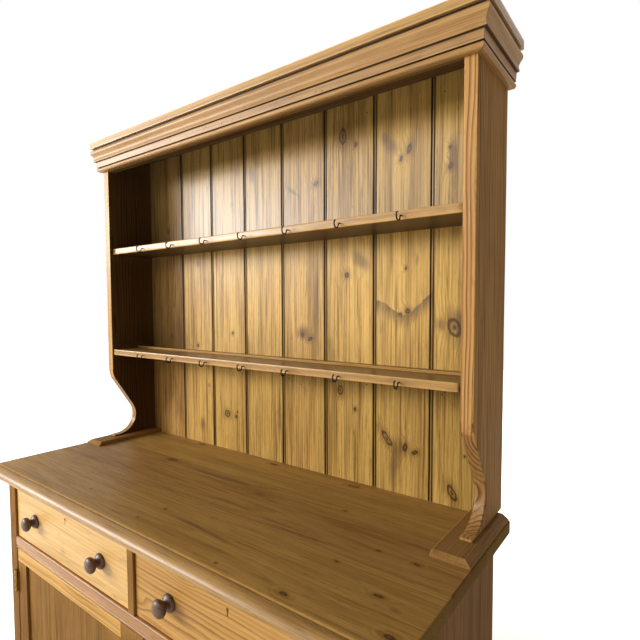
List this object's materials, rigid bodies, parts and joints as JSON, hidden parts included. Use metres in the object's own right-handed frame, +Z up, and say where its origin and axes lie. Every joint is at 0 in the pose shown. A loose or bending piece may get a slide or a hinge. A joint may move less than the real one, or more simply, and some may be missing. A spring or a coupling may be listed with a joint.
{
  "type": "dresser",
  "caption": "Pine dresser: a base with drawers over panelled cupboards, under an open plate rack with shelves, cup hooks and a moulded cornice.",
  "frame": {"origin": "on the floor, at the middle of the whole width and depth", "axes": "+Z up, +X to the right seen from the front, -Y towards the front"},
  "size_m": [1.305, 0.542, 1.85],
  "materials": {
    "case_pine": "waxed",
    "counter_pine": "waxed",
    "rack_pine": "waxed",
    "backboard_pine": "waxed",
    "drawer_front_pine": "waxed",
    "raw_pine": "bare, aged",
    "turned_knob": "stained and polished",
    "iron": "blackened",
    "brass": "aged"
  },
  "bodies": {
    "case": {"base_side_left": "case_pine", "base_side_right": "case_pine", "corner_posts": "case_pine", "top_rail": "case_pine", "drawer_divider": "case_pine", "mid_rail": "case_pine", "centre_muntin": "case_pine", "bottom_rail": "case_pine", "plinth": "case_pine", "cupboard_floor": "raw_pine", "cupboard_shelf": "raw_pine", "base_backboards": "raw_pine", "drawer_runners": "raw_pine", "drawer_guides_and_kickers": "raw_pine", "drawer_stops": "raw_pine", "dust_board": "raw_pine", "counter_front_board": "counter_pine", "counter_middle_board": "counter_pine", "counter_rear_board": "counter_pine", "rack_end_left": "rack_pine", "rack_end_right": "rack_pine", "rack_feet": "rack_pine", "upper_shelf": "rack_pine", "lower_shelf": "rack_pine", "plate_strips": "rack_pine", "frieze_rail": "rack_pine", "cornice_front": "rack_pine", "cornice_returns": "rack_pine", "cornice_cap": "rack_pine", "rack_backboards": "backboard_pine", "upper_cup_hooks": "iron", "lower_cup_hooks": "iron", "post_hinge_leaves": "brass", "hinge_pins": "brass"},
    "drawer_left": {"drawer_left_front": "drawer_front_pine", "drawer_left_sides": "raw_pine", "drawer_left_back": "raw_pine", "drawer_left_bottom": "raw_pine", "drawer_left_knobs": "turned_knob", "drawer_left_lock_case": "iron"},
    "lock_bolt_left": {"drawer_left_lock_bolt": "brass"},
    "door_left": {"door_left_rails": "drawer_front_pine", "door_left_stiles": "case_pine", "door_left_panel": "case_pine", "door_left_hinge_leaves": "brass"},
    "door_latch_left": {"door_left_knob": "turned_knob", "door_left_latch": "iron"},
    "drawer_right": {"drawer_right_front": "drawer_front_pine", "drawer_right_sides": "raw_pine", "drawer_right_back": "raw_pine", "drawer_right_bottom": "raw_pine", "drawer_right_knobs": "turned_knob", "drawer_right_lock_case": "iron"},
    "lock_bolt_right": {"drawer_right_lock_bolt": "brass"},
    "door_right": {"door_right_rails": "drawer_front_pine", "door_right_stiles": "case_pine", "door_right_panel": "case_pine", "door_right_hinge_leaves": "brass"},
    "door_latch_right": {"door_right_knob": "turned_knob", "door_right_latch": "iron"}
  },
  "joints": [
    {"name": "drawer_left_slide", "type": "slide", "parent": "case", "child": "drawer_left", "axis": [0, -1, 0], "range_m": [0, 0.36]},
    {"name": "lock_bolt_left_throw", "type": "slide", "parent": "drawer_left", "child": "lock_bolt_left", "axis": [0, 0, 1], "range_m": [0, 0.006]},
    {"name": "door_left_hinge", "type": "hinge", "parent": "case", "child": "door_left", "pos_m": [-0.58225, -0.2344, 0.38], "axis": [0, 0, -1], "range_deg": [0, 160]},
    {"name": "door_left_latch_turn", "type": "hinge", "parent": "door_left", "child": "door_latch_left", "pos_m": [-0.0715, -0.228, 0.42], "axis": [0, -1, 0], "range_deg": [0, 90]},
    {"name": "drawer_right_slide", "type": "slide", "parent": "case", "child": "drawer_right", "axis": [0, -1, 0], "range_m": [0, 0.36]},
    {"name": "lock_bolt_right_throw", "type": "slide", "parent": "drawer_right", "child": "lock_bolt_right", "axis": [0, 0, 1], "range_m": [0, 0.006]},
    {"name": "door_right_hinge", "type": "hinge", "parent": "case", "child": "door_right", "pos_m": [0.58225, -0.2344, 0.38], "axis": [0, 0, 1], "range_deg": [0, 160]},
    {"name": "door_right_latch_turn", "type": "hinge", "parent": "door_right", "child": "door_latch_right", "pos_m": [0.0715, -0.228, 0.42], "axis": [0, 1, 0], "range_deg": [0, 90]}
  ]
}
